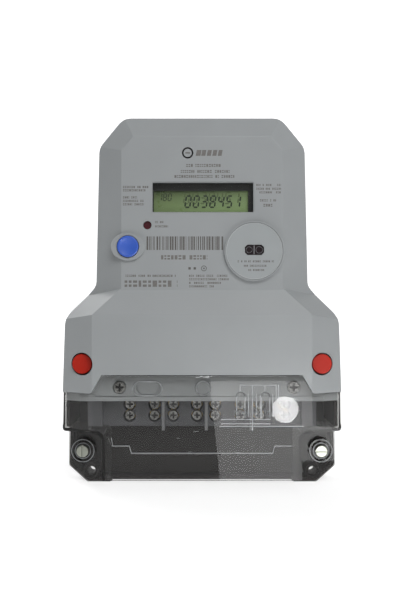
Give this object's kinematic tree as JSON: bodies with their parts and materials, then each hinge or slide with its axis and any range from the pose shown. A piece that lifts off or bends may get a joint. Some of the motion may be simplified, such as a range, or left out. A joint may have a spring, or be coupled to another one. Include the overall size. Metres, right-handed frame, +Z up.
{
  "type": "electricity meter",
  "caption": "Wall-mounted three-phase electricity meter with stepped grey case, small display, blue button, optical port and clear sealed terminal cover.",
  "frame": {"origin": "on the wall plane, midway between the two lower fixing holes", "axes": "+Z up, +X to the right as seen from the front, -Y out of the wall towards the reader"},
  "size_m": [0.1778, 0.057, 0.2388],
  "materials": {
    "base_plastic": "fine moulded texture",
    "case_grey": "satin moulded grey",
    "case_grey_light": "satin moulded grey",
    "zinc_steel": "zinc plated",
    "seal_rubber": "soft black",
    "window_clear": "clear polycarbonate",
    "frame_black": "matt black",
    "lcd_green": "reflective liquid crystal glass",
    "contact_rubber": "conductive rubber",
    "window_dark": "infrared-clear, dark to the eye",
    "emitter_clear": "clear epoxy",
    "lens_red": "dark red",
    "button_blue": "satin blue",
    "seal_red": "bright red",
    "board_green": "solder resist",
    "chip_black": "moulded epoxy",
    "bright_metal": "bright can",
    "battery_sleeve": "shrink sleeve",
    "can_dark": "sleeved can",
    "capacitor_yellow": "moulded box",
    "varistor_blue": "dipped coating",
    "block_grey": "moulded thermoset",
    "brass": "machined",
    "copper": "tinned copper strip",
    "cover_clear": "clear polycarbonate, slightly smoky",
    "coil_blue": "taped toroid"
  },
  "bodies": {
    "case": {"rear_base": "base_plastic", "case_gasket": "seal_rubber", "front_cover": "case_grey", "display_window": "window_clear", "display_frame": "frame_black", "display_glass": "lcd_green", "display_contacts": "contact_rubber", "port_plate": "case_grey_light", "port_window": "window_dark", "port_emitters": "emitter_clear", "pulse_lens": "lens_red", "pulse_emitter": "emitter_clear", "switch_body": "frame_black", "seal_plug_left": "seal_red", "seal_plug_right": "seal_red", "case_screws": "zinc_steel", "shelf_screws": "zinc_steel", "main_board": "board_green", "board_screws": "zinc_steel", "metering_chip": "chip_black", "processor_chip": "chip_black", "memory_chip": "chip_black", "clock_crystal": "bright_metal", "backup_battery": "battery_sleeve", "bulk_capacitor": "can_dark", "supply_capacitors": "capacitor_yellow", "varistors": "varistor_blue", "terminal_block": "block_grey", "terminal_clamps": "brass", "terminal_screws": "zinc_steel", "voltage_pins": "brass", "current_bar_l1": "copper", "current_bar_l2": "copper", "current_bar_l3": "copper", "neutral_bar": "copper", "current_transformer_l1": "coil_blue", "current_transformer_l2": "coil_blue", "current_transformer_l3": "coil_blue"},
    "button": {"scroll_button": "button_blue", "switch_plunger": "frame_black"},
    "cover": {"terminal_cover": "cover_clear"},
    "screw_left": {"sealing_screw_left": "zinc_steel"},
    "screw_right": {"sealing_screw_right": "zinc_steel"},
    "hanger": {"hanger_plate": "zinc_steel"}
  },
  "joints": [
    {"name": "button_press", "type": "slide", "parent": "case", "child": "button", "axis": [0, 1, 0], "range_m": [0, 0.0015], "stiffness_N_per_m": 900, "springref_m": -0.0015},
    {"name": "cover_lift_off", "type": "slide", "parent": "case", "child": "cover", "axis": [0, -1, 0], "range_m": [0, 0.07]},
    {"name": "sealing_screw_left_turn", "type": "hinge", "parent": "cover", "child": "screw_left", "pos_m": [-0.079, -0.025, 0.0155], "axis": [0, -1, 0], "continuous": true},
    {"name": "sealing_screw_right_turn", "type": "hinge", "parent": "cover", "child": "screw_right", "pos_m": [0.079, -0.025, 0.0155], "axis": [0, -1, 0], "continuous": true},
    {"name": "hanger_slide", "type": "slide", "parent": "case", "child": "hanger", "axis": [0, 0, 1], "range_m": [0, 0.025]}
  ]
}
